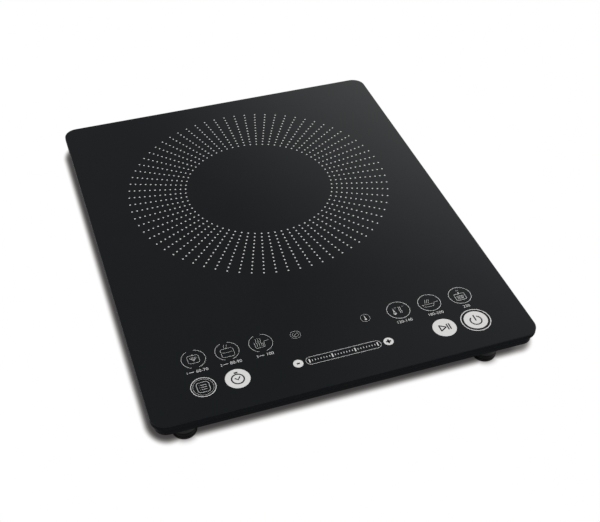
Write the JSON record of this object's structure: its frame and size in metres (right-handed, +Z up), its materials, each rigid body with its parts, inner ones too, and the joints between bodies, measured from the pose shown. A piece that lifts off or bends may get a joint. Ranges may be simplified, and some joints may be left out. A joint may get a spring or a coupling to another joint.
{
  "type": "electric induction cooktop",
  "caption": "Portable single-zone induction hob: black glass plate on a shallow vented housing with rubber feet, coil, power board, touch controls and a cooling blower inside.",
  "frame": {"origin": "on the worktop, under the middle of the glass plate", "axes": "+X to the user's right, +Y away from the user towards the back edge, +Z up out of the glass"},
  "size_m": [0.28, 0.355, 0.0435],
  "materials": {
    "black_glass": "polished black glass-ceramic with a ground chamfer",
    "seal_silicone": "cured black silicone bead",
    "rim_plastic": "fine spark texture, black",
    "tray_plastic": "moulded black plastic with a fine texture",
    "foot_rubber": "moulded black rubber",
    "screw_steel": "zinc plated steel",
    "coil_copper": "enamelled stranded copper wire, varnished",
    "carrier_plastic": "heat-resistant moulding",
    "ferrite": "pressed and ground ferrite",
    "mica": "pressed mica sheet",
    "spring_steel": "bright spring wire",
    "white_silicone": "moulded silicone",
    "sensor_bead": "dipped bead",
    "red_insulation": "silicone insulation",
    "white_insulation": "woven white sleeve",
    "green_board": "solder mask over glass-fibre board",
    "insulation_film": "white insulating film",
    "sink_aluminium": "mill finish extrusion",
    "chip_black": "moulded epoxy",
    "film_blue": "blue capacitor box",
    "film_yellow": "yellow capacitor box",
    "core_green": "coated powder core",
    "winding_copper": "enamelled copper wire",
    "bobbin_yellow": "taped transformer",
    "can_black": "sleeved aluminium can",
    "ceramic_white": "white ceramic",
    "tinned_brass": "plated brass",
    "connector_white": "natural nylon",
    "blower_plastic": "glass-filled plastic",
    "magnet_dark": "bonded magnet",
    "bearing_bronze": "sintered bronze",
    "lamp_white": "clear resin",
    "guide_white": "white moulding",
    "ribbon_grey": "grey flat cable"
  },
  "bodies": {
    "hob": {"glass_plate": "black_glass", "glass_seal": "seal_silicone", "top_frame": "rim_plastic", "base_tray": "tray_plastic", "foot_front_left": "foot_rubber", "foot_front_right": "foot_rubber", "foot_rear_left": "foot_rubber", "foot_rear_right": "foot_rubber", "foot_screws": "screw_steel", "housing_screws": "screw_steel", "cord_grommet": "foot_rubber", "coil_carrier": "carrier_plastic", "induction_coil": "coil_copper", "ferrite_bars": "ferrite", "mica_sheet": "mica", "coil_springs": "spring_steel", "carrier_screws": "screw_steel", "thermistor_seat": "white_silicone", "coil_thermistor": "sensor_bead", "coil_leads": "red_insulation", "thermistor_lead": "white_insulation", "insulation_sheet": "insulation_film", "main_board": "green_board", "board_screws": "screw_steel", "heat_sink": "sink_aluminium", "power_transistor": "chip_black", "bridge_rectifier": "chip_black", "heat_sink_screws": "screw_steel", "resonant_capacitor": "film_blue", "smoothing_capacitor": "film_blue", "filter_capacitor": "film_yellow", "choke_core": "core_green", "choke_winding": "winding_copper", "supply_transformer": "bobbin_yellow", "current_transformer": "film_blue", "electrolytic_capacitors": "can_black", "varistor": "film_blue", "mains_fuse": "ceramic_white", "mains_tabs": "tinned_brass", "buzzer": "can_black", "driver_chip": "chip_black", "coil_terminals": "tinned_brass", "terminal_screws": "screw_steel", "board_connectors": "connector_white", "blower_housing": "blower_plastic", "blower_cover": "blower_plastic", "blower_bearing": "bearing_bronze", "blower_stator": "winding_copper", "blower_screws": "screw_steel", "blower_lead": "red_insulation", "control_board": "green_board", "touch_springs": "tinned_brass", "indicator_lamps": "lamp_white", "light_guides": "guide_white", "touch_chip": "chip_black", "control_screws": "screw_steel", "ribbon_cable": "ribbon_grey"},
    "blower_rotor": {"blower_wheel": "blower_plastic", "blower_shaft": "spring_steel", "blower_magnet": "magnet_dark"}
  },
  "joints": [
    {"name": "blower_spin", "type": "hinge", "parent": "hob", "child": "blower_rotor", "pos_m": [0.066, -0.094, 0.02], "axis": [0, 0, 1], "continuous": true}
  ]
}
